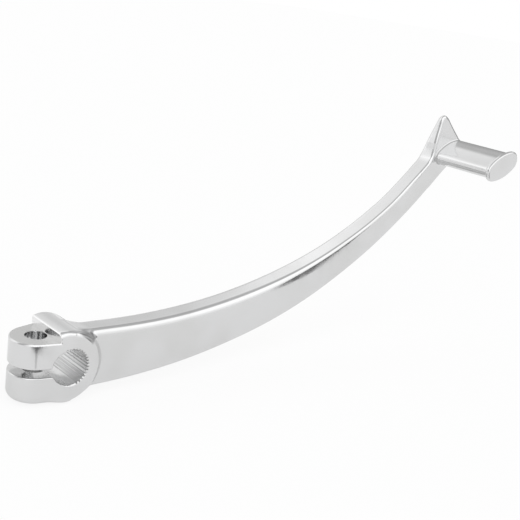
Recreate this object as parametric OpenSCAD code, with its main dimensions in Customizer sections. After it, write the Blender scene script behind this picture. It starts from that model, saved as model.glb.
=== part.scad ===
// Kick start lever: one polished aluminium casting with a splined pinch clamp,
// a curved and tapering arm, a shark-fin end plate and an oval foot peg.
// It is drawn as two pieces that meet on one plane through the start of the arm, so
// that each keeps a simple shape.
// Origin: middle of the clamp bore. X runs to the arm, Y along the bore from the
// front face to the back face, Z up along the pinch bolt. All sizes are in mm.

/* [Clamp hub] */
// Diameter of the bore's smooth wall, which is also that of the teeth's tips
bore_d = 14.5; // [12:0.1:20]
// Depth of the grooves between the spline teeth
tooth_h = 0.7; // [0.4:0.1:1.2]
// Teeth that a full turn of the bore would have
teeth_per_turn = 36; // [24:1:48]
// Angle of the first groove, measured from X towards Z
teeth_from = -65; // [-90:5:-30]
// Angle of the last groove
teeth_to = 105; // [60:5:120]
// Outer radius of the hub
hub_r = 14.8; // [12:0.1:20]
// Distance of the hub's centre from the bore's centre, away from the arm
hub_shift = 1.3; // [0:0.1:3]
// Width of the hub along the bore
hub_w = 24; // [16:0.5:34]
// Rounding of the hub's two outer edges
hub_round = 2.6; // [1:0.1:4]
// Chamfer at the mouths of the bore
bore_chamfer = 0.4; // [0.2:0.1:1]

/* [Pinch lobe] */
// Distance from the bore's centre to the pinch bolt's axis
bolt_x = 9.1; // [8:0.1:14]
// Diameter of the pinch bolt's clearance hole
bolt_d = 8.4; // [6:0.1:10]
// Chamfer at both ends of the bolt hole
bolt_chamfer = 0.4; // [0.2:0.1:1]
// Radius of the lobe around the bolt's axis
lobe_r = 10.1; // [9:0.1:14]
// Height of the milled face above the bore's centre
face_z = 10.7; // [9:0.1:14]
// Depth of the lobe below the bore's centre
lobe_depth = 14.4; // [11:0.1:20]
// Rounding of the lobe's lower edge
lobe_round = 3.4; // [1:0.1:5]
// Distance from the bore's centre to the wall at the end of the milled face
wall_x = 4.7; // [3:0.1:8]
// Height of the slit
slit_h = 3.4; // [1.5:0.1:5]
// Depth of the slit's middle plane below the bore's centre
slit_drop = 1.3; // [0:0.1:3]

/* [Arm] */
// Length of the arm's straight start
arm_straight = 21; // [5:1:60]
// Length of the gentle bend
bend_one = 76; // [40:1:120]
// Radius of the gentle bend
bend_one_r = 325; // [200:5:600]
// Length of the tighter bend up to the end plate
bend_two = 132; // [80:1:180]
// Radius of the tighter bend
bend_two_r = 242; // [150:2:400]
// Height of the arm at the bore's centre
arm_h = 24.4; // [16:0.1:32]
// Height of the arm at its end
arm_h_end = 10.2; // [8:0.1:16]
// Thickness of the arm at the bore's centre
arm_t = 12.2; // [8:0.1:18]
// Thickness of the arm at its end
arm_t_end = 8.8; // [6:0.1:14]
// Distance of the arm's front side behind the hub's front face
arm_setback = 3; // [1:0.1:6]
// Height of the arm's middle line above the bore's centre, at the hub
arm_rise = 0.8; // [0:0.1:3]
// Rounding of the arm's long edges
arm_round = 2; // [0.8:0.1:3]
// Hollow rounding where the hub's front rim meets the arm
front_fillet = 2; // [0.5:0.1:2.5]
// Hollow rounding where the hub's back rim meets the arm
back_fillet = 3.5; // [0.5:0.1:6]
// Distance from the hub's rim to the plane where the two drawn pieces meet
joint_gap = 7.5; // [5:0.5:15]

/* [End plate] */
// Height of the fin's tip above the peg's middle
fin_h = 18.6; // [10:0.1:30]
// Thickness of the fin at its tip
fin_t = 3; // [1.5:0.1:6]
// Height above the peg's middle where the fin starts to thin
fin_thin_from = -3; // [-8:0.5:5]
// Rounding of the end plate's edges
plate_round = 1.2; // [0.5:0.1:1.4]

/* [Peg] */
// Length of the peg from the end plate to the outer face of its flange
peg_len = 33.5; // [24:0.5:60]
// Long diameter of the peg's oval
peg_a = 21.4; // [16:0.1:28]
// Short diameter of the peg's oval
peg_b = 9.6; // [7:0.1:14]
// Radius at the oval's two ends
peg_end_r = 3.6; // [2.5:0.1:4.5]
// Tilt of the oval's long axis above X
peg_tilt = 20.4; // [0:0.1:45]
// How far the flange stands out around the peg
flange_lip = 1.2; // [0.5:0.1:3]
// Thickness of the flange
flange_t = 2.4; // [1.5:0.1:5]
// Rounding of the flange's rim
flange_round = 0.7; // [0.3:0.1:0.75]
// Hollow rounding between the peg and its flange
flange_fillet = 0.4; // [0.1:0.05:0.45]
// Hollow rounding where the peg grows out of the end plate
root_fillet = 2.8; // [1:0.1:4]

/* [Hidden] */
$fn = 96;
eps = 0.01;
bore_r = bore_d / 2;
bolt_r = bolt_d / 2;
half_w = hub_w / 2;
arm_front = -half_w + arm_setback;
arm_len = arm_straight + bend_one + bend_two;
joint_s = hub_r - hub_shift + joint_gap;
tooth_pitch = 360 / teeth_per_turn;
alloy = [0.86, 0.87, 0.88];
deg = 180 / PI;

// Direction of the arm's middle line at a distance s along it
bend_one_turn = bend_one / bend_one_r * deg;
function heading(s) =
    s < arm_straight ? 0 :
    s < arm_straight + bend_one ? (s - arm_straight) / bend_one_r * deg :
    bend_one_turn + (s - arm_straight - bend_one) / bend_two_r * deg;

// Middle line of the arm: a straight, then two arcs that carry on from each other
mid_one = [arm_straight, arm_rise];
mid_two = [arm_straight + bend_one_r * sin(bend_one_turn),
           arm_rise + bend_one_r * (1 - cos(bend_one_turn))];
function middle(s) =
    s < arm_straight ? [s, arm_rise] :
    s < arm_straight + bend_one ?
        [arm_straight + bend_one_r * sin(heading(s)),
         arm_rise + bend_one_r * (1 - cos(heading(s)))] :
        [mid_two[0] + bend_two_r * (sin(heading(s)) - sin(bend_one_turn)),
         mid_two[1] - bend_two_r * (cos(heading(s)) - cos(bend_one_turn))];

function height_at(s) = arm_h + (arm_h_end - arm_h) * s / arm_len;
function thick_at(s) = arm_t + (arm_t_end - arm_t) * s / arm_len;

// The peg's middle and the key points of the end plate hang on the arm's end
arm_end = middle(arm_len);
end_dir = heading(arm_len);
peg_mid = [arm_end[0] + 7.0, arm_end[1] + 6.2];

// Points of a rounded rectangle, width u and height v, corner radius r
corner_steps = 4;
function rounded_rect(u, v, r) = [
    for (q = [0:3])
        for (k = [0:corner_steps])
            let (a = 90 * q + 90 * k / corner_steps,
                 cu = (q == 0 || q == 3 ? 1 : -1) * (u / 2 - r),
                 cv = (q < 2 ? 1 : -1) * (v / 2 - r))
            [cu + r * cos(a), cv + r * sin(a)]
];
ring_n = 4 * (corner_steps + 1);

// One ring of the arm, square to its middle line
function arm_ring(s) =
    let (m = middle(s), a = heading(s), t = thick_at(s), h = height_at(s))
    [for (p = rounded_rect(t, h, min(arm_round, t / 2.2)))
        [m[0] - p[1] * sin(a), arm_front + t / 2 + p[0], m[1] + p[1] * cos(a)]];

// The end of a loft: one face for a plain ring, or strips from one half of the ring to
// the other for a ring with hollow sides. A strip ring has an odd number of points.
function cap(n, strips) =
    !strips ? [[for (i = [0:n - 1]) i]] :
    concat(
        [for (k = [0:(n - 5) / 2]) [k, k + 1, n - 2 - k, n - 1 - k]],
        [[(n - 3) / 2, (n - 1) / 2, (n + 1) / 2]]
    );
function turned(face, shift) = [for (i = [len(face) - 1:-1:0]) face[i] + shift];

// A closed solid through a list of rings
module loft(rings, strips = false) {
    n = len(rings[0]);
    last = len(rings) - 1;
    polyhedron(
        points = [for (r = rings) each r],
        faces = concat(
            cap(n, strips),
            [for (k = [0:last - 1], i = [0:n - 1])
                [k * n + i, (k + 1) * n + i,
                 (k + 1) * n + (i + 1) % n, k * n + (i + 1) % n]],
            [for (f = cap(n, strips)) turned(f, last * n)]
        ),
        convexity = 6
    );
}

// Puts a flat outline in the XZ plane and gives it depth between two Y values
module slab(y0, y1) {
    translate([0, y1, 0])
        rotate([90, 0, 0])
            linear_extrude(y1 - y0)
                children();
}

// Half outline for a rounded disc, turned about its own axis
module disc_outline(r, w, round) {
    square([r - round, w]);
    translate([0, round])
        square([r, w - 2 * round]);
    translate([r - round, round])
        circle(round);
    translate([r - round, w - round])
        circle(round);
}

module hub_body() {
    translate([-hub_shift, half_w, 0])
        rotate([90, 0, 0])
            rotate_extrude()
                disc_outline(hub_r, hub_w, hub_round);
}

// The lobe around the pinch bolt, with its lower edge rounded
module lobe_body() {
    translate([-bolt_x, 0, -lobe_depth])
        rotate_extrude() {
            square([lobe_r - lobe_round, lobe_depth + face_z]);
            translate([0, lobe_round])
                square([lobe_r, lobe_depth + face_z - lobe_round]);
            translate([lobe_r - lobe_round, lobe_round])
                circle(lobe_round);
        }
}

// Seen from above, the clamp's two flanks are the lines from the rims of the hub's
// faces that touch the lobe's circle. Each keeps the lobe's rounded lower edge, and lies a
// hair inside the lobe, so that the two cross instead of only touching.
hair = 0.04;
flank_reach = norm([bolt_x - hub_shift, half_w]);
flank_touch = atan2(half_w, bolt_x - hub_shift) + acos(lobe_r / flank_reach);
flank_len = sqrt(flank_reach * flank_reach - lobe_r * lobe_r);

module flank_profile() {
    polygon(concat(
        [[-3, face_z], [-3, hair - lobe_depth]],
        arc_points([lobe_r - lobe_round, lobe_round - lobe_depth], lobe_round - hair, -90, 0, 10),
        [[lobe_r - hair, lobe_round - lobe_depth], [lobe_r - hair, face_z]]
    ));
}
module flank_body() {
    for (side = [0, 1])
        mirror([0, side, 0])
            translate([-bolt_x, 0, 0])
                rotate([0, 0, flank_touch - 90])
                    rotate([90, 0, 90])
                        linear_extrude(flank_len - 0.2)
                            flank_profile();
}

// The same outline from above, a little smaller, which trims the hub's disc on the lobe's side
module plan_limit() {
    edge = half_w + 1;
    inner = half_w - 2.5 * hair;
    r = lobe_r - 2.5 * hair;
    translate([0, 0, -hub_r - 1])
        linear_extrude(2 * hub_r + 2)
            polygon(concat(
                [[hub_r + 1, -edge], [hub_r + 1, edge], [-hub_shift, edge], [-hub_shift, inner]],
                arc_points([-bolt_x, 0], r, flank_touch, 360 - flank_touch, 24),
                [[-bolt_x + r * cos(flank_touch), -r * sin(flank_touch)],
                 [-hub_shift, -inner], [-hub_shift, -edge]]
            ));
}

// What a straight cutter takes off above the milled face
module face_cut() {
    translate([-bolt_x - lobe_r - 5, -half_w - 1, face_z])
        cube([bolt_x + lobe_r + 5 - wall_x, hub_w + 2, hub_r]);
}

// The bore with the grooves between its teeth, as the solid that is taken away
module bore_cut() {
    pitch = tooth_pitch / deg * bore_r;
    slab(-half_w - 1, half_w + 1) {
        circle(bore_r);
        for (a = [teeth_from:tooth_pitch:teeth_to])
            rotate(a)
                translate([bore_r, 0])
                    polygon([
                        [-0.5, -pitch * 0.3], [0, -pitch * 0.34], [tooth_h, -pitch * 0.13],
                        [tooth_h, pitch * 0.13], [0, pitch * 0.34], [-0.5, pitch * 0.3]
                    ]);
    }
    for (side = [-1, 1])
        translate([0, side * half_w, 0])
            rotate([side * 90, 0, 0])
                translate([0, 0, -1])
                    cylinder(h = bore_chamfer + 1, r1 = bore_r + 1, r2 = bore_r - bore_chamfer);
}

module bolt_cut() {
    translate([-bolt_x, 0, -lobe_depth - 1])
        cylinder(h = lobe_depth + face_z + 2, r = bolt_r);
    translate([-bolt_x, 0, face_z - bolt_chamfer])
        cylinder(h = bolt_chamfer + 1, r1 = bolt_r, r2 = bolt_r + bolt_chamfer + 1);
    translate([-bolt_x, 0, -lobe_depth - 1])
        cylinder(h = bolt_chamfer + 1, r1 = bolt_r + bolt_chamfer + 1, r2 = bolt_r);
}

module slit_cut() {
    translate([-bolt_x - lobe_r - 5, -half_w - 1, -slit_drop - slit_h / 2])
        cube([bolt_x + lobe_r + 5, hub_w + 2, slit_h]);
}

// The arm between two distances along its middle line
module arm_body(from, to, steps) {
    loft([for (k = [0:steps]) arm_ring(from + (to - from) * k / steps)]);
}

// Hollow roundings around the hub's rim, on the arm's front side and back side
function hollow(r, y, f, side) = concat(
    [[r - 2, y - side * 0.6], [r + f, y - side * 0.6]],
    [for (k = [0:6]) [r + f - f * sin(15 * k), y + side * (f - f * cos(15 * k))]],
    [[r - 2, y + side * f]]
);
module hub_fillet(y, f, side) {
    reach = height_at(hub_r) / 2 - arm_round * 0.7;
    intersection() {
        translate([-hub_shift, 0, 0])
            rotate([90, 0, 0])
                rotate_extrude()
                    polygon([for (p = hollow(hub_r, y, f, side)) [p[0], -p[1]]]);
        translate([0, -hub_w, arm_rise - reach])
            cube([hub_r + 10, 2 * hub_w, 2 * reach]);
    }
}

// A point of a smooth curve through four control points
function bend(a, b, c, d, t) =
    pow(1 - t, 3) * a + 3 * pow(1 - t, 2) * t * b + 3 * (1 - t) * t * t * c + t * t * t * d;
function curve(a, b, c, d, n) = [for (k = [0:n - 1]) bend(a, b, c, d, k / n)];

// Outline of the end plate as seen along the bore: the arm's end, then up the fin's
// steep side, over its tip, down its sloping side and round the peg's far end. The tip
// is the middle one of its points, so that strips can join its two halves.
function plate_outline() =
    let (m = peg_mid,
         back = arm_len - 12,
         b = middle(back),
         a = heading(back),
         h = height_at(back) / 2,
         top = [b[0] - h * sin(a), b[1] + h * cos(a)],
         low = [b[0] + h * sin(a), b[1] - h * cos(a)],
         tip_l = m + [-10.2, fin_h - 3.2],
         tip = m + [-7.6, fin_h],
         tip_r = m + [-4.4, fin_h - 2.0],
         far = m + [10.9, 3.4])
    concat(
        [top],
        curve(top + 3 * [cos(a), sin(a)], top + 8 * [cos(a), sin(a)],
              m + [-12.2, -4], m + [-11.9, 3], 10),
        curve(m + [-11.9, 3], m + [-11.7, 8], tip_l + [-0.4, -4], tip_l, 9),
        curve(tip_l, tip_l + [0.4, 2], tip + [-1.6, 0], tip, 6),
        curve(tip, tip + [1.4, 0], tip_r + [-1, 1], tip_r, 4),
        curve(tip_r, tip_r + [5, -5], far + [-5, 4], far, 9),
        curve(far, far + [1.4, -1.1], m + [10.8, -1.6], m + [7.4, -3.6], 7),
        curve(m + [7.4, -3.6], m + [4, -5.6], low + 8 * [cos(a), sin(a)], low, 6),
        [low]
    );

// The outline drawn in by a distance, each point along its own normal
function drawn_in(pts, d) =
    let (n = len(pts))
    [for (i = [0:n - 1])
        let (e = pts[(i + 1) % n] - pts[(i + n - 1) % n], l = norm(e))
        [pts[i][0] + d * e[1] / l, pts[i][1] - d * e[0] / l]];
function ring_at(pts, y) = [for (p = pts) [p[0], y, p[1]]];

module plate_body() {
    t = thick_at(arm_len);
    z0 = peg_mid[1] + fin_thin_from;
    z1 = peg_mid[1] + fin_h;
    r = plate_round;
    shape = plate_outline();
    intersection() {
        loft(concat(
            [for (a = [0:30:90]) ring_at(drawn_in(shape, r - r * sin(a)), arm_front + r - r * cos(a))],
            [for (a = [90:-30:0]) ring_at(drawn_in(shape, r - r * sin(a)), arm_front + t - r + r * cos(a))]
        ), strips = true);
        // Side view: full thickness below, thinning to the fin's tip from the back
        translate([150, 0, 0])
            rotate([90, 0, 90])
                linear_extrude(120)
                    polygon([
                        [arm_front, 0], [arm_front + t, 0], [arm_front + t, z0],
                        [arm_front + fin_t, z1], [arm_front + fin_t, z1 + 5],
                        [arm_front, z1 + 5]
                    ]);
    }
}

// An oval of two end arcs and two side arcs that run into each other
function arc_points(c, r, from, to, n) =
    [for (k = [0:n - 1]) let (t = from + (to - from) * k / n) c + r * [cos(t), sin(t)]];
function oval_points(a, b, r) =
    let (c = a - r,
         side_r = (c * c + b * b - r * r) / (2 * (b - r)),
         turn = atan2(side_r - b, c))
    concat(
        arc_points([c, 0], r, -turn, turn, 12),
        arc_points([0, b - side_r], side_r, turn, 180 - turn, 14),
        arc_points([-c, 0], r, 180 - turn, 180 + turn, 12),
        arc_points([0, side_r - b], side_r, 180 + turn, 360 - turn, 14)
    );

// One ring of the peg at a distance y along the bore's direction, grown by g all round
function peg_ring(y, g) =
    [for (p = oval_points(peg_a / 2 + g, peg_b / 2 + g, peg_end_r + g))
        [peg_mid[0] + p[0] * cos(peg_tilt) - p[1] * sin(peg_tilt),
         y,
         peg_mid[1] + p[0] * sin(peg_tilt) + p[1] * cos(peg_tilt)]];

// The oval shank, hollow rounding, flange and rounded rim, as one loft towards the foot
module peg_body() {
    out = arm_front - peg_len;
    seat = out + flange_t;
    f = flange_fillet;
    r = flange_round;
    loft(concat(
        [peg_ring(arm_front + 1, 0)],
        [for (a = [0:30:90]) peg_ring(seat + f - f * sin(a), f - f * cos(a))],
        [for (a = [0:30:90]) peg_ring(seat - r + r * cos(a), flange_lip - r + r * sin(a))],
        [for (a = [90:-30:0]) peg_ring(out + r - r * cos(a), flange_lip - r + r * sin(a))]
    ));
}

// The hollow rounding at the peg's root stays within the end plate's outline
module root_body() {
    f = root_fillet;
    intersection() {
        loft(concat(
            [peg_ring(arm_front + 1.5, f)],
            [for (a = [0:15:90]) peg_ring(arm_front - f + f * cos(a), f - f * sin(a))],
            [peg_ring(arm_front - f - 0.3, -0.5)]
        ));
        slab(arm_front - f - 1, arm_front + 1)
            polygon(drawn_in(plate_outline(), 0.4));
    }
}

// Hub, lobe and the start of the arm, with the bore, slit and cross hole cut through
module clamp() {
    color(alloy)
        difference() {
            union() {
                intersection() {
                    hub_body();
                    plan_limit();
                }
                lobe_body();
                flank_body();
                arm_body(2, joint_s, 2);
                hub_fillet(arm_front, front_fillet, -1);
                hub_fillet(arm_front + thick_at(hub_r), back_fillet, 1);
            }
            face_cut();
            bore_cut();
            bolt_cut();
            slit_cut();
        }
}

// The arm from the meeting plane on, with the fin and the peg
module arm() {
    color(alloy)
        union() {
            arm_body(joint_s, arm_len, 36);
            plate_body();
            root_body();
            peg_body();
        }
}

clamp();
arm();
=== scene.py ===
import math

import bpy
import numpy as np
from mathutils import Matrix, Vector


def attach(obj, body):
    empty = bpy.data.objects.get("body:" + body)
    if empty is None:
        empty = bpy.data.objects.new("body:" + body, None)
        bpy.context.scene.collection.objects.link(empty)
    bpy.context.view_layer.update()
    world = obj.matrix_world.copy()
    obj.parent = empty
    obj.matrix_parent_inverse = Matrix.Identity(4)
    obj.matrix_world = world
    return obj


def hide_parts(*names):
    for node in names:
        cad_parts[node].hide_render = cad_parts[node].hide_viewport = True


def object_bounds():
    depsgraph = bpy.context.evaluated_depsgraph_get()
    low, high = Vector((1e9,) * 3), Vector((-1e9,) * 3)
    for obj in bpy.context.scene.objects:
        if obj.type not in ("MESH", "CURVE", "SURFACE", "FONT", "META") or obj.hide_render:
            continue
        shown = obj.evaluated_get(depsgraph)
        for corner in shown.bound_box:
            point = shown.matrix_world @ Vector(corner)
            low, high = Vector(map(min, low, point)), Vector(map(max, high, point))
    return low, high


# Kick start lever: one polished aluminium casting, drawn again over its two CAD nodes.
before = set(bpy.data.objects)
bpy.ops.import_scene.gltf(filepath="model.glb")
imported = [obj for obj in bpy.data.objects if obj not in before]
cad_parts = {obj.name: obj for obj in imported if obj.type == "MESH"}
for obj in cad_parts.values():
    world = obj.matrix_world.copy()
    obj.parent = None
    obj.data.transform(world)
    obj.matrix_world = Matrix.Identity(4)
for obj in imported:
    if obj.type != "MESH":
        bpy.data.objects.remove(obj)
cad_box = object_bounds()
scene = bpy.context.scene

# Camera: the photograph's viewing angle, in the lever's own frame
cam_data = bpy.data.cameras.new("camera")
cam_data.sensor_width = 36.0
cam_data.lens = 63.7
cam_data.clip_start = 0.01
cam_data.clip_end = 50.0
camera = bpy.data.objects.new("camera", cam_data)
scene.collection.objects.link(camera)
right = Vector((0.7390, -0.6604, 0.1340)).normalized()
forward = Vector((0.6670, 0.6881, -0.2860))
forward = (forward - right * forward.dot(right)).normalized()
up = right.cross(forward)
place = Vector((-0.1763, -0.2879, 0.1489))
camera.matrix_world = Matrix((
    (right.x, up.x, -forward.x, place.x),
    (right.y, up.y, -forward.y, place.y),
    (right.z, up.z, -forward.z, place.z),
    (0, 0, 0, 1),
))
scene.camera = camera


# ------------------------------------------------ the lever as a distance field, in mm

# Splined bore along Y: radius, depth of the grooves, how many fill a turn, first and last angle
BORE_R, TOOTH_H, TEETH = 7.25, 0.7, 36
TOOTH_FROM, TOOTH_TO = -65.0, 105.0
TOOTH_PITCH = 360.0 / TEETH
# Hub: middle, radius, half its width, rim rounding, and how much less of it at the back of the top
HUB_X, HUB_R, HALF_W, HUB_ROUND, RIM_LESS = -1.3, 14.8, 12.0, 2.6, 1.3
# Lobe: the bolt's middle and radius, the lobe's radius, its milled face, underside and rounding,
# where it runs into the hub, the wall beside the bolt, and the slit
BOLT_X, BOLT_R, LOBE_R = -9.1, 4.2, 10.1
FACE_Z, LOBE_Z, LOBE_ROUND, LOBE_STOP, WALL_X = 10.7, -14.4, 3.4, 1.5, -4.7
SLIT_H, SLIT_Z = 3.4, -1.3
# Arm: a straight and two arcs, their lengths and radii, and its start above the bore's middle
STRAIGHT, BEND_ONE, R_ONE, BEND_TWO, R_TWO, RISE = 21.0, 76.0, 325.0, 132.0, 242.0, 0.8
# Its height and thickness at each end, its front face, and how far the photo's arm is past that
ARM_H, ARM_H_END, ARM_T, ARM_T_END, ARM_FRONT = 24.4, 10.2, 12.2, 8.8, -9.0
FULL_FRONT, FULL_CROWN, CROWN_H = 1.0, 0.5, 5.5
LESS_TOP, MORE_LOW, MORE_LOW_END = 0.95, 0.65, 0.95
ARM_LEN = STRAIGHT + BEND_ONE + BEND_TWO
TURN_ONE = BEND_ONE / R_ONE
C_ONE = (STRAIGHT, RISE + R_ONE)
MID_TWO = (STRAIGHT + R_ONE * math.sin(TURN_ONE), RISE + R_ONE * (1 - math.cos(TURN_ONE)))
C_TWO = (MID_TWO[0] - R_TWO * math.sin(TURN_ONE), MID_TWO[1] + R_TWO * math.cos(TURN_ONE))
END_DIR = TURN_ONE + BEND_TWO / R_TWO
ARM_END = (C_TWO[0] + R_TWO * math.sin(END_DIR), C_TWO[1] - R_TWO * math.cos(END_DIR))
# Fin: height over the peg's middle, thickness at its tip, and where it starts to get thinner
PEG = np.array((ARM_END[0] + 7.0, ARM_END[1] + 6.2))
FIN_H, FIN_T, FIN_THIN = 18.6, 3.0, -3.0
# Peg: length, half its width and height, the radius of its ends, its tilt, and its flange
PEG_LEN, PEG_A, PEG_B, PEG_END, PEG_TILT = 33.5, 10.7, 4.8, 3.6, math.radians(20.4)
LIP, FLANGE_T = 1.2, 2.4
# Edge rounding of the arm: top and bottom by the clamp, and both by the fin
EDGE_R, EDGE_R_LOW, EDGE_R_END = 3.2, 2.0, 1.5
# Inner corners: arm on hub, peg on fin. Small edges: milled face, slit, bore and bolt hole
ARM_FILLET, PEG_FILLET = 3.0, 0.9
FACE_BEVEL, FACE_BEVEL_LESS, SLIT_ROUND, BORE_ROUND, BOLT_ROUND = 0.5, 0.38, 0.45, 0.2, 0.15
# The field is put together in three stretches of X: clamp, arm, and fin with peg
CLAMP_STOP, END_START = 34, 170
FAR = 1e3
DIAGONAL = 0.7071
MM = 0.001
BOX = [[1000 * v for v in corner] for corner in cad_box]


def both(a, b, r):
    """Intersection with a round edge of radius r."""
    return np.minimum(np.maximum(a, b), -r) + np.hypot(np.maximum(a + r, 0), np.maximum(b + r, 0))


def bevelled(a, b, w):
    """Intersection with a flat bevel whose legs are w long."""
    return np.maximum(np.maximum(a, b), (a + b + w) * DIAGONAL)


def joined(a, b, r):
    """Union with a round inner corner of radius r."""
    return np.maximum(np.minimum(a, b), r) - np.hypot(np.maximum(r - a, 0), np.maximum(r - b, 0))


def polygon(px, pz, pts):
    """Signed distance to a closed outline in a plane."""
    pts = np.asarray(pts, float)
    best = np.full(px.shape, 1e9)
    inside = np.zeros(px.shape, bool)
    for (x0, z0), (x1, z1) in zip(pts, np.roll(pts, -1, 0)):
        ex, ez = x1 - x0, z1 - z0
        wx, wz = px - x0, pz - z0
        t = np.clip((wx * ex + wz * ez) / max(ex * ex + ez * ez, 1e-12), 0, 1)
        best = np.minimum(best, (wx - ex * t) ** 2 + (wz - ez * t) ** 2)
        cross = (z0 > pz) != (z1 > pz)
        inside ^= cross & (px < (x1 - x0) * (pz - z0) / (z1 - z0 if z1 != z0 else 1e-12) + x0)
    d = np.sqrt(best)
    return np.where(inside, -d, d)


def spine(s):
    """The arm's middle line at s, and its direction there."""
    if s < STRAIGHT:
        return np.array((s, RISE)), 0.0
    if s < STRAIGHT + BEND_ONE:
        a = (s - STRAIGHT) / R_ONE
        return np.array((C_ONE[0] + R_ONE * math.sin(a), C_ONE[1] - R_ONE * math.cos(a))), a
    a = TURN_ONE + (s - STRAIGHT - BEND_ONE) / R_TWO
    return np.array((C_TWO[0] + R_TWO * math.sin(a), C_TWO[1] - R_TWO * math.cos(a))), a


def along(x, z):
    """Where a point lies along the arm, and how far above its middle line."""
    a1 = np.arctan2(x - C_ONE[0], C_ONE[1] - z)
    a2 = np.arctan2(x - C_TWO[0], C_TWO[1] - z)
    s = np.where(a1 < 0, x, STRAIGHT + R_ONE * a1)
    n = np.where(a1 < 0, z - RISE, R_ONE - np.hypot(x - C_ONE[0], z - C_ONE[1]))
    second = a2 > TURN_ONE
    s = np.where(second, STRAIGHT + BEND_ONE + R_TWO * (a2 - TURN_ONE), s)
    n = np.where(second, R_TWO - np.hypot(x - C_TWO[0], z - C_TWO[1]), n)
    return s, n


def smooth(a, b, x):
    """Smooth step of x from 0 at a to 1 at b."""
    t = np.clip((x - a) / (b - a), 0, 1)
    return t * t * (3 - 2 * t)


def curve(a, b, c, d, n):
    """Points of a cubic curve from a to d, without d."""
    t = np.arange(n)[:, None] / n
    a, b, c, d = (np.asarray(v, float) for v in (a, b, c, d))
    return (1 - t) ** 3 * a + 3 * (1 - t) ** 2 * t * b + 3 * (1 - t) * t * t * c + t ** 3 * d


def plate_outline():
    """The fin's outline from the front: arm's top, up to the tip, down to the peg, arm's bottom."""
    m = PEG
    start = ARM_LEN - 12
    b, a = spine(start)
    h = (ARM_H + (ARM_H_END - ARM_H) * start / ARM_LEN) / 2
    along_arm = np.array((math.cos(a), math.sin(a)))
    up_arm = np.array((-math.sin(a), math.cos(a)))
    top, low = b + h * up_arm, b - (h + MORE_LOW_END) * up_arm
    tip_l, tip, tip_r = m + (-10.2, FIN_H - 3.2), m + (-7.6, FIN_H), m + (-3.2, FIN_H - 2.4)
    far = m + (10.9, 3.4)
    return np.concatenate([
        [top],
        curve(top + 3 * along_arm, top + 8 * along_arm, m + (-12.2, -4), m + (-11.9, 3), 14),
        curve(m + (-11.9, 3), m + (-11.7, 8), tip_l + (-0.4, -4), tip_l, 10),
        curve(tip_l, tip_l + (0.4, 2), tip + (-1.6, 0), tip, 10),
        curve(tip, tip + (1.4, 0), tip_r + (-1, 1), tip_r, 10),
        curve(tip_r, tip_r + (4.6, -4.6), far + (-4.2, 4.8), far, 20),
        curve(far, far + (1.4, -1.1), m + (10.8, -1.6), m + (7.4, -3.6), 14),
        curve(m + (7.4, -3.6), m + (4, -5.6), low + 8 * along_arm, low, 14),
        [low],
    ])


PLATE = plate_outline()


def oval(x, z, a, b, r):
    """Distance to an oval of two end arcs and two side arcs."""
    c = a - r
    side = (c * c + b * b - r * r) / (2 * (b - r))
    turn = math.atan2(side - b, c)
    x, z = np.abs(x), np.abs(z)
    end = np.hypot(x - c, z) - r
    flank = np.hypot(x, z + side - b) - side
    return np.where(np.arctan2(z + side - b, x) > turn, flank, end)


REACH = math.hypot(BOLT_X - HUB_X, HALF_W)
TOUCH = math.atan2(HALF_W, HUB_X - BOLT_X) + math.acos(LOBE_R / REACH)
FLANK = (math.sin(TOUCH - math.pi / 2), math.cos(TOUCH - math.pi / 2))


def d_plan(x, y):
    """The clamp's outline from above: the lobe's circle and the two flanks that touch it."""
    ay = np.abs(y)
    px, py = x - BOLT_X, ay
    line = -px * FLANK[0] + py * FLANK[1] - LOBE_R
    before = px * FLANK[1] + py * FLANK[0] < 0
    return np.where(before, np.hypot(px, py) - LOBE_R, line)


def d_clamp(x, y, z):
    """The clamp before its holes, and the room that is milled away over the bolt face."""
    over_face, corner, side_round = 3, 0.6, 0.8
    hub = np.hypot(x - HUB_X, z) - HUB_R
    lobe = np.maximum(np.maximum(LOBE_Z - z, z - FACE_Z - over_face), x - LOBE_STOP)
    profile = joined(hub, lobe, corner)
    side = both(d_plan(x, y), np.abs(y) - HALF_W, side_round)
    r = HUB_ROUND + (LOBE_ROUND - HUB_ROUND) * smooth(-1, -7, x) * (z < 0)
    r = r - RIM_LESS * smooth(0, 8, y) * smooth(-2, 5, z)
    return both(profile, side, r), np.maximum(x - WALL_X, FACE_Z - z)


def section(s, n):
    """The arm's top, bottom, front and back at s: a little fuller at the front and below."""
    f = np.clip(s, 0, ARM_LEN) / ARM_LEN
    h = ARM_H + (ARM_H_END - ARM_H) * f
    t = ARM_T + (ARM_T_END - ARM_T) * f
    # Each fullness comes and goes between two places along the arm
    full = smooth(10, 60, s) * (1 - smooth(100, 160, s))
    top = h / 2 - LESS_TOP * smooth(100, 160, s) * (1 - smooth(190, 216, s))
    low = -h / 2 - MORE_LOW * smooth(-5, 25, s) + 0.15 * smooth(88, 112, s)
    low = low - 0.12 * smooth(140, 170, s) - 0.35 * smooth(185, 218, s)
    crown = np.clip((n - top + CROWN_H) / CROWN_H, 0, 1) ** 2
    crown = crown * smooth(60, 110, s) * (1 - smooth(150, 180, s))
    return top, low, ARM_FRONT - FULL_FRONT * full + FULL_CROWN * crown, ARM_FRONT + t


def d_arm(x, y, z):
    """The arm from inside the hub to just before its end, which the fin's plate takes over."""
    first, last = 6, ARM_LEN - 3
    s, n = along(x, z)
    top, low, front, back = section(s, n)
    r = np.where(n > 0, EDGE_R, EDGE_R_LOW)
    r = r - (r - EDGE_R_END) * smooth(70, 160, s)
    qy = np.maximum(front - y, y - back) + r
    qn = np.maximum(n - top, low - n) + r
    d = np.minimum(np.maximum(qy, qn), 0) + np.hypot(np.maximum(qy, 0), np.maximum(qn, 0)) - r
    return np.maximum(d, np.maximum(first - s, s - last))


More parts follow.
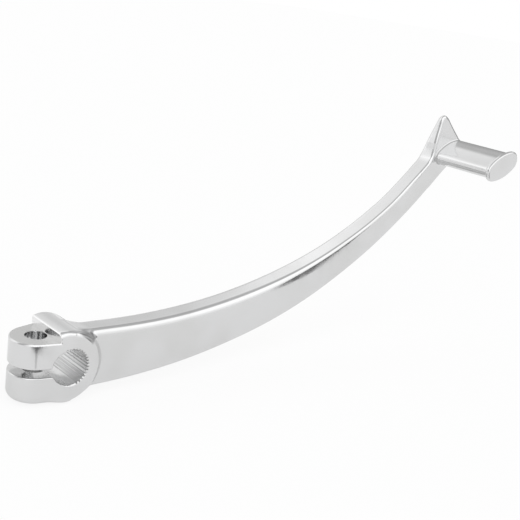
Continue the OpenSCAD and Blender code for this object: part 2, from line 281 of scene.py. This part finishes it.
def d_end(x, y, z):
    """The arm's last stretch with the fin, as one rounded plate, so that its sides run through."""
    s, n = along(x, z)
    top, low, front, behind = section(s, n)
    strip = np.maximum(np.maximum(n - top, low - n), s - (ARM_LEN - 3))
    flat = joined(strip, polygon(x, z, PLATE), 0.3)
    z0, z1 = PEG[1] + FIN_THIN, PEG[1] + FIN_H
    slope = (ARM_T_END - FIN_T) / (z1 - z0)
    back = y - behind
    lean = (y - (ARM_FRONT + ARM_T_END) + slope * (z - z0)) / math.hypot(1, slope)
    back = both(back, lean, 0.6)        # the plain back and the fin's leaning back
    return both(both(flat, back, EDGE_R_END), ARM_FRONT - y, EDGE_R_END)


def d_peg(x, y, z):
    """The oval peg with its flange."""
    dx, dz = x - PEG[0], z - PEG[1]
    c, s = math.cos(PEG_TILT), math.sin(PEG_TILT)
    u, v = dx * c + dz * s, -dx * s + dz * c
    out = ARM_FRONT - PEG_LEN
    length = np.maximum(out + 0.5 - y, y - ARM_FRONT - 1)
    shank = np.maximum(oval(u, v, PEG_A, PEG_B, PEG_END), length)
    thick = np.abs(y - out - FLANGE_T / 2) - FLANGE_T / 2
    rim = both(oval(u, v, PEG_A + LIP, PEG_B + LIP, PEG_END + LIP), thick, 0.8)
    return joined(shank, rim, 0.6)


def d_bore(x, y, z):
    """The splined bore with its two countersunk mouths."""
    rho = np.hypot(x, z)
    ang = np.degrees(np.arctan2(z, x))
    half = TOOTH_PITCH / 2
    phase = np.abs((ang - TOOTH_FROM + half) % TOOTH_PITCH - half) / TOOTH_PITCH
    groove = TOOTH_H * (1 - smooth(0.10, 0.36, phase))
    inside = (ang > TOOTH_FROM - half) & (ang < TOOTH_TO + half)
    steepness = 0.72                    # keeps the field near a distance on the grooves' sides
    wall = (rho - (BORE_R + groove * inside)) * steepness
    mouth = (rho - BORE_R + (HALF_W - np.abs(y)) - 0.5) * DIAGONAL
    return np.minimum(wall, mouth)


def d_slit(x, y, z):
    """The slit, from the lobe's tip into the bore."""
    return np.maximum(np.abs(z - SLIT_Z) - SLIT_H / 2, x)


def d_bolt(x, y, z):
    """The bolt hole, countersunk below."""
    rho = np.hypot(x - BOLT_X, y)
    mouth = (rho - BOLT_R + (z - LOBE_Z) - 0.45) * DIAGONAL
    return np.minimum(rho - BOLT_R, mouth)


def lever(x, y, z):
    """Distance from the lever's surface, minus inside."""
    d = np.full(x.shape, FAR)
    near = x < CLAMP_STOP
    if near.any():
        X, Y, Z = x[near], y[near], z[near]
        body, cut = d_clamp(X, Y, Z)
        # The wall's two ends have nearly sharp edges
        slight = smooth(10.0, 11.0, np.abs(Y)) * smooth(FACE_Z + 0.3, FACE_Z + 1.2, Z)
        body = bevelled(body, -cut, FACE_BEVEL - FACE_BEVEL_LESS * slight)
        body = joined(body, d_arm(X, Y, Z), ARM_FILLET)
        body = both(body, -d_bore(X, Y, Z), BORE_ROUND)
        body = both(body, -d_slit(X, Y, Z), SLIT_ROUND)
        body = both(body, -d_bolt(X, Y, Z), BOLT_ROUND)
        d[near] = body
    mid = ~near & (x < END_START)
    if mid.any():
        d[mid] = d_arm(x[mid], y[mid], z[mid])
    end = x >= END_START
    if end.any():
        X, Y, Z = x[end], y[end], z[end]
        d[end] = np.maximum(joined(d_end(X, Y, Z), d_peg(X, Y, Z), PEG_FILLET), X - BOX[1][0])
    # Nothing goes past the CAD's box
    return np.maximum(d, np.maximum(BOX[0][1] - y, BOX[0][2] - z))


def spaced(stops):
    """Grid lines: stops is a list of (start, end, step)."""
    out = []
    for a, b, step in stops:
        n = max(1, round((b - a) / step))
        out.append(a + (b - a) * np.arange(n) / n)
    out.append([stops[-1][1]])
    return np.concatenate(out)


def surface(gx, gy, gz, field):
    """Surface nets on a grid of lines, worked out only in the blocks that the surface crosses."""
    shape = (len(gx), len(gy), len(gz))
    step, batch = 5, 6000               # cells along a block, blocks worked out at a time
    slack, spare = 1.5, 0.6             # a block this near to the surface is worked out
    full = np.full(shape, 1.0, np.float32)
    starts = [np.arange(0, n - 1, step) for n in shape]
    mids, halves = [], []
    for g, st in zip((gx, gy, gz), starts):
        ends = np.minimum(st + step, len(g) - 1)
        mids.append((g[st] + g[ends]) / 2)
        halves.append((g[ends] - g[st]) / 2)
    MX, MY, MZ = np.meshgrid(*mids, indexing="ij")
    HX, HY, HZ = np.meshgrid(*halves, indexing="ij")
    centre = field(MX.ravel(), MY.ravel(), MZ.ravel()).reshape(MX.shape)
    reach = np.sqrt(HX ** 2 + HY ** 2 + HZ ** 2) * slack + spare
    for i, j, k in np.argwhere(np.abs(centre) >= reach):
        a, b, c = starts[0][i], starts[1][j], starts[2][k]
        full[a:a + step + 1, b:b + step + 1, c:c + step + 1] = 1.0 if centre[i, j, k] > 0 else -1.0
    live = np.argwhere(np.abs(centre) < reach)
    spans = [(starts[0][i], starts[1][j], starts[2][k]) for i, j, k in live]
    o = np.arange(step + 1)
    OI, OJ, OK = (v.ravel() for v in np.meshgrid(o, o, o, indexing="ij"))
    base = np.array(spans)
    for part in range(0, len(base), batch):
        b = base[part:part + batch]
        I = np.minimum(b[:, :1] + OI, shape[0] - 1).ravel()
        J = np.minimum(b[:, 1:2] + OJ, shape[1] - 1).ravel()
        K = np.minimum(b[:, 2:3] + OK, shape[2] - 1).ravel()
        full[I, J, K] = field(gx[I], gy[J], gz[K])
    sign = full < 0
    corners = [(a, b, c) for a in (0, 1) for b in (0, 1) for c in (0, 1)]

    def part_of(arr, a, b, c):
        return arr[a:shape[0] - 1 + a, b:shape[1] - 1 + b, c:shape[2] - 1 + c]

    count = sum(part_of(sign, *c).astype(np.int8) for c in corners)
    cells = np.argwhere((count > 0) & (count < 8))
    number = np.full((shape[0] - 1, shape[1] - 1, shape[2] - 1), -1, np.int64)
    number[tuple(cells.T)] = np.arange(len(cells))
    # One point in each crossed cell: the middle of the crossings on its edges
    total = np.zeros((len(cells), 3))
    hits = np.zeros(len(cells))
    grid = (gx, gy, gz)
    for a in corners:
        for axis in range(3):
            if a[axis]:
                continue
            b = list(a)
            b[axis] = 1
            ia, ib = cells + a, cells + b
            va, vb = full[tuple(ia.T)], full[tuple(ib.T)]
            hit = (va < 0) != (vb < 0)
            t = np.where(hit, va / np.where(va == vb, 1, va - vb), 0)
            p = np.stack([g[ia[:, n]] for n, g in enumerate(grid)], 1)
            q = np.stack([g[ib[:, n]] for n, g in enumerate(grid)], 1)
            total += np.where(hit[:, None], p + (q - p) * t[:, None], 0)
            hits += hit
    verts = total / hits[:, None]
    # One quad round each crossed grid edge
    quads = []
    for axis in range(3):
        lo = [slice(1, n - 1) for n in shape]
        lo[axis] = slice(0, shape[axis] - 1)
        hi = list(lo)
        hi[axis] = slice(1, shape[axis])
        a, b = sign[tuple(lo)], sign[tuple(hi)]
        where = np.argwhere(a != b)
        where = where + [0 if n == axis else 1 for n in range(3)]
        u, v = [n for n in range(3) if n != axis]
        out = a[a != b]
        c = []
        for du, dv in ((-1, -1), (0, -1), (0, 0), (-1, 0)):
            w = where.copy()
            w[:, u] += du
            w[:, v] += dv
            c.append(number[tuple(w.T)])
        q = np.stack(c, 1)
        flip = out if axis != 1 else ~out
        q[~flip] = q[~flip][:, ::-1]
        quads.append(q)
    return verts, np.concatenate(quads)


def gradient(field, p, h=0.01):
    """The field's slope at the points, by differences over h."""
    g = np.empty_like(p)
    for n in range(3):
        a, b = p.copy(), p.copy()
        a[:, n] += h
        b[:, n] -= h
        g[:, n] = (field(*a.T) - field(*b.T)) / (2 * h)
    return g


def build_lever():
    """The casting as one mesh with normals from the field."""
    # Fine lines over the clamp, the arm's faces, the fin and the peg's flange, wide ones between
    gx = spaced([(-20.2, -9.5, 0.45), (-9.5, 9.5, 0.28), (9.5, 17.5, 0.38), (17.5, 26, 0.7),
                 (26, 196, 1.6), (196, 204, 0.7), (204, 229.4, 0.42)])
    gy = spaced([(-43.6, -39, 0.38), (-39, -12.6, 1.1), (-12.6, -8.6, 0.28), (-8.6, -6.6, 0.4),
                 (-6.6, 0.6, 0.9), (0.6, 3.4, 0.4), (3.4, 8.6, 0.9), (8.6, 12.6, 0.36)])
    gz = spaced([(-15.6, -9.5, 0.45), (-9.5, 9.5, 0.28), (9.5, 13, 0.3), (13, 17, 0.45),
                 (17, 62, 0.62), (62, 98.6, 0.42)])
    verts, quads = surface(gx, gy, gz, lever)
    # The points are drawn on to the surface, in three careful steps
    longest, least_slope, tiny = 0.25, 0.2, 1e-9
    for _ in range(3):
        g = gradient(lever, verts)
        size = np.maximum((g * g).sum(1), least_slope)
        move = g * (lever(*verts.T) / size)[:, None]
        far = np.linalg.norm(move, axis=1, keepdims=True)
        verts -= move * np.minimum(1, longest / np.maximum(far, tiny))
    normals = gradient(lever, verts, 0.03)
    normals /= np.maximum(np.linalg.norm(normals, axis=1, keepdims=True), tiny)
    mesh = bpy.data.meshes.new("lever_casting")
    mesh.from_pydata((verts * MM).tolist(), [], quads.tolist())
    mesh.validate()
    mesh.polygons.foreach_set("use_smooth", [True] * len(mesh.polygons))
    mesh.normals_split_custom_set_from_vertices(normals.tolist())
    mesh.update()
    obj = bpy.data.objects.new("lever_casting", mesh)
    scene.collection.objects.link(obj)
    print("casting", len(verts), "points", len(quads), "quads")
    return obj


# ------------------------------------------------ materials

def maths(tree, kind, *values):
    """A maths node on numbers and sockets."""
    node = tree.nodes.new("ShaderNodeMath")
    node.operation = kind
    for socket, v in zip(node.inputs, values):
        if hasattr(v, "node"):
            tree.links.new(v, socket)
        else:
            socket.default_value = v
    return node.outputs[0]


def step_up(tree, value, low, high, to_low=0.0, to_high=1.0):
    """Smooth step of a value from low to high."""
    node = tree.nodes.new("ShaderNodeMapRange")
    node.interpolation_type = "SMOOTHSTEP"
    tree.links.new(value, node.inputs["Value"])
    for name, v in (("From Min", low), ("From Max", high), ("To Min", to_low), ("To Max", to_high)):
        node.inputs[name].default_value = v
    return node.outputs["Result"]


def noise(tree, place, scale, detail, roughness=0.5):
    """A noise texture's value at the place."""
    node = tree.nodes.new("ShaderNodeTexNoise")
    node.inputs["Scale"].default_value = scale
    node.inputs["Detail"].default_value = detail
    node.inputs["Roughness"].default_value = roughness
    tree.links.new(place, node.inputs["Vector"])
    return node.outputs[0]


def blend(tree, factor, first, second):
    """Goes from the first colour, a socket or a value, to the second."""
    node = tree.nodes.new("ShaderNodeMix")
    node.data_type = "RGBA"
    if hasattr(first, "node"):
        tree.links.new(first, node.inputs["A"])
    else:
        node.inputs["A"].default_value = first
    node.inputs["B"].default_value = second
    tree.links.new(factor, node.inputs["Factor"])
    return node.outputs["Result"]


def polished_alloy():
    """Polished cast aluminium, with its machined places a little rougher. Lengths are in metres."""
    m = bpy.data.materials.new("polished_alloy")
    m.use_nodes = True
    t = m.node_tree
    shader = t.nodes["Principled BSDF"]
    place = t.nodes.new("ShaderNodeTexCoord").outputs["Object"]
    parts = t.nodes.new("ShaderNodeSeparateXYZ")
    t.links.new(place, parts.inputs[0])
    x, y, z = parts.outputs

    # Machined places: the milled face, the wall beside it and the splined bore. The wall's lighter
    # colour is a painted highlight
    wall_x, face_z, spline_r = WALL_X * MM, FACE_Z * MM, (BORE_R + TOOTH_H) * MM
    milled = maths(t, "MULTIPLY", step_up(t, x, wall_x + 0.0003, wall_x - 0.0001),
                   step_up(t, z, face_z - 0.00015, face_z - 0.00005))
    level_part = maths(t, "MULTIPLY", milled, step_up(t, z, face_z + 0.00015, face_z + 0.00008))
    wall = maths(t, "MULTIPLY", step_up(t, x, wall_x - 0.0002, wall_x - 0.0001),
                 step_up(t, x, wall_x + 0.0003, wall_x + 0.0002))
    wall = maths(t, "MULTIPLY", wall, step_up(t, z, face_z + 0.0001, face_z + 0.0003))
    rho = maths(t, "SQRT", maths(t, "ADD", maths(t, "MULTIPLY", x, x), maths(t, "MULTIPLY", z, z)))
    bored = maths(t, "MULTIPLY", step_up(t, rho, spline_r + 0.00045, spline_r + 0.00005),
                  step_up(t, z, face_z - 0.0003, face_z - 0.0007))
    machined = maths(t, "MAXIMUM", milled, bored)

    # Painted shade in the corner at the peg's root
    front = ARM_FRONT * MM
    root = maths(t, "MULTIPLY", step_up(t, y, front - 0.0001, front - 0.0003),
                 step_up(t, y, front - 0.0012, front - 0.0008))
    root = maths(t, "MULTIPLY", root, step_up(t, x, 0.196, 0.200))

    # Polishing leaves broad soft waves, and handling a faint haze
    wave = noise(t, place, 55.0, 1.5)
    haze = noise(t, place, 190.0, 5.0, 0.6)
    fine = noise(t, place, 2600.0, 3.0)

    rough = step_up(t, haze, 0.35, 0.75, 0.115, 0.20)
    rough = maths(t, "ADD", rough, maths(t, "MULTIPLY", machined, 0.10))
    t.links.new(rough, shader.inputs["Roughness"])

    colour = blend(t, step_up(t, wave, 0.35, 0.75, 0.0, 0.8),
                   (0.722, 0.724, 0.727, 1), (0.676, 0.677, 0.674, 1))
    colour = blend(t, level_part, colour, (0.60, 0.60, 0.595, 1))
    # Painted highlight: the wall beside the milled face is coloured lighter
    colour = blend(t, wall, colour, (0.88, 0.88, 0.88, 1))
    # Painted shade: the peg's root corner is coloured darker
    colour = blend(t, root, colour, (0.48, 0.48, 0.48, 1))
    t.links.new(colour, shader.inputs["Base Color"])

    height = maths(t, "ADD", maths(t, "MULTIPLY", wave, 0.35), maths(t, "MULTIPLY", fine, 0.012))
    bump = t.nodes.new("ShaderNodeBump")
    bump.inputs["Strength"].default_value = 0.25
    bump.inputs["Distance"].default_value = 0.0004
    t.links.new(height, bump.inputs["Height"])
    t.links.new(bump.outputs[0], shader.inputs["Normal"])
    shader.inputs["Metallic"].default_value = 1.0
    return m


casting = build_lever()
casting.data.materials.append(polished_alloy())
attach(casting, "root")
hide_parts("clamp", "arm")


# ------------------------------------------------ floor, light and background

def any_ray(tree, *names):
    """1 for a ray of any of the named kinds."""
    path = tree.nodes.new("ShaderNodeLightPath")
    value = path.outputs[names[0]]
    for name in names[1:]:
        value = maths(tree, "MAXIMUM", value, path.outputs[name])
    return value


def floor_material():
    """White to the camera but for the object's shadow, and dimmer in the polish."""
    m = bpy.data.materials.new("floor_white")
    m.use_nodes = True
    t = m.node_tree
    t.nodes.remove(t.nodes["Principled BSDF"])
    plain = t.nodes.new("ShaderNodeBsdfDiffuse")
    plain.inputs["Color"].default_value = (0.92, 0.92, 0.92, 1)
    glow = t.nodes.new("ShaderNodeEmission")
    glow.inputs["Color"].default_value = (1, 1, 1, 1)
    glow.inputs["Strength"].default_value = 1.0
    mix = t.nodes.new("ShaderNodeMixShader")
    direct = maths(t, "MULTIPLY", any_ray(t, "Is Camera Ray"), 0.88)
    mirrored = maths(t, "MULTIPLY", any_ray(t, "Is Glossy Ray", "Is Transmission Ray"), 0.40)
    t.links.new(maths(t, "MAXIMUM", direct, mirrored), mix.inputs["Fac"])
    t.links.new(plain.outputs[0], mix.inputs[1])
    t.links.new(glow.outputs[0], mix.inputs[2])
    t.links.new(mix.outputs[0], t.nodes["Material Output"].inputs["Surface"])
    return m


FLOOR_HALF, FLOOR_GAP = 6.0, 0.0005
floor_mesh = bpy.data.meshes.new("floor")
floor_mesh.from_pydata([(x * FLOOR_HALF, y * FLOOR_HALF, 0) for x, y in (
    (-1, -1), (1, -1), (1, 1), (-1, 1))], [], [(0, 1, 2, 3)])
floor = bpy.data.objects.new("floor", floor_mesh)
scene.collection.objects.link(floor)
floor.location = (0, 0, cad_box[0][2] - FLOOR_GAP)
floor_mesh.materials.append(floor_material())


def card(name, points, level):
    """A grey sheet beside the lever, seen only in its polish, where it paints a dark reflection or
    shadow. The points are in mm.
    """
    mesh = bpy.data.meshes.new(name)
    mesh.from_pydata([[v * MM for v in p] for p in points], [], [tuple(range(len(points)))])
    m = bpy.data.materials.new(name)
    m.use_nodes = True
    tree = m.node_tree
    tree.nodes.remove(tree.nodes["Principled BSDF"])
    clear = tree.nodes.new("ShaderNodeBsdfTransparent")
    clear.inputs["Color"].default_value = (level, level, level, 1)
    tree.links.new(clear.outputs[0], tree.nodes["Material Output"].inputs["Surface"])
    mesh.materials.append(m)
    obj = bpy.data.objects.new(name, mesh)
    scene.collection.objects.link(obj)
    obj.visible_camera = obj.visible_diffuse = False
    obj.visible_shadow = obj.visible_transmission = False


LOW = 1000 * cad_box[0][2] - 0.2        # just over the floor
# Painted dark reflection: a dark sheet on the floor at the front left
card("painted_reflection_dark_left", [(x, y, LOW) for x, y in (
    (-60, -49), (-45, -55), (-35, -56), (-20, -65), (-3, -69), (-20, -125), (-80, -100))], 0.1)
# Painted reflection: a lighter grey streak on the floor beside it
card("painted_reflection_streak_left", [(x, y, LOW) for x, y in (
    (-38, -56), (-29, -42), (-24, -42), (-28, -59))], 0.72)
# Painted dark reflection under the arm's ridge: a dark sheet standing at the front right
card("painted_reflection_dark_right", [(x, -120, z) for x, z in (
    (188, 40), (199, 63), (230, 65), (249, 40), (246, -12), (210, -12))], 0.2)
# Painted shadow: a grey sheet on the floor behind the arm, where its shadow falls, seen in the
# polish
card("painted_floor_shadow_behind", [(x, y, LOW) for x, y in (
    (30, 20), (200, 20), (200, 70), (120, 110), (30, 120))], 0.6)

# The studio: white all round, long strips of light overhead and a grey gap between them.
# The strips run along X, so their pattern is a ramp over the angle around X, in degrees.
STRIPS = [(0, 0.95), (22, 0.86), (30, 0.90), (36, 1.02), (41, 1.18), (47, 1.24), (52, 1.07),
          (59, 0.95), (66, 0.60), (88, 0.56), (97, 0.8), (104, 1.42), (133, 1.42), (143, 1.28),
          (155, 1.15), (168, 1.05), (180, 0.95)]
BRIGHTEST = 1.6                         # a ramp holds 0 to 1, so the levels are divided by this
FLAG_DARK, ENDS_DARK, GLOW_LIGHT = 0.5, 0.6, 0.32
world = bpy.data.worlds.new("studio")
scene.world = world
world.use_nodes = True
t = world.node_tree
parts = t.nodes.new("ShaderNodeSeparateXYZ")
t.links.new(t.nodes.new("ShaderNodeTexCoord").outputs["Generated"], parts.inputs[0])
dx, dy, dz = parts.outputs
angle = maths(t, "DIVIDE", maths(t, "ARCTAN2", dz, dy), math.pi)
ramp = t.nodes.new("ShaderNodeValToRGB")
ramp.color_ramp.interpolation = "LINEAR"
elements = ramp.color_ramp.elements
while len(elements) > 1:
    elements.remove(elements[-1])
for n, (deg, tone) in enumerate(STRIPS):
    e = elements[0] if n == 0 else elements.new(deg / 180)
    e.position = deg / 180
    e.color = [tone / BRIGHTEST] * 3 + [1]
t.links.new(angle, ramp.inputs["Fac"])
level = maths(t, "MULTIPLY", ramp.outputs["Color"], BRIGHTEST)
# A dark flag behind to the right, the strips' dark ends, and a glow low at the left
flag = maths(t, "MULTIPLY", step_up(t, dx, 0.37, 0.54), step_up(t, dy, 0.30, 0.45))
flag = maths(t, "MULTIPLY", flag, step_up(t, dy, 0.66, 0.60, 0.25, 1.0))
glow = maths(t, "MULTIPLY", step_up(t, dx, -0.15, -0.5), step_up(t, dz, 0.58, 0.42))
ends = step_up(t, maths(t, "ABSOLUTE", dx), 0.78, 0.90)
for mask, change in ((flag, -FLAG_DARK), (ends, -ENDS_DARK), (glow, GLOW_LIGHT)):
    level = maths(t, "MULTIPLY", level, maths(t, "ADD", 1.0, maths(t, "MULTIPLY", mask, change)))
backdrop = t.nodes["Background"]
backdrop.inputs["Color"].default_value = (1, 1, 1, 1)
camera_ray = any_ray(t, "Is Camera Ray", "Is Transmission Ray")
level = maths(t, "MULTIPLY", level, maths(t, "SUBTRACT", 1.0, camera_ray))
level = maths(t, "ADD", level, camera_ray)
t.links.new(level, backdrop.inputs["Strength"])

scene.view_settings.view_transform = "Standard"
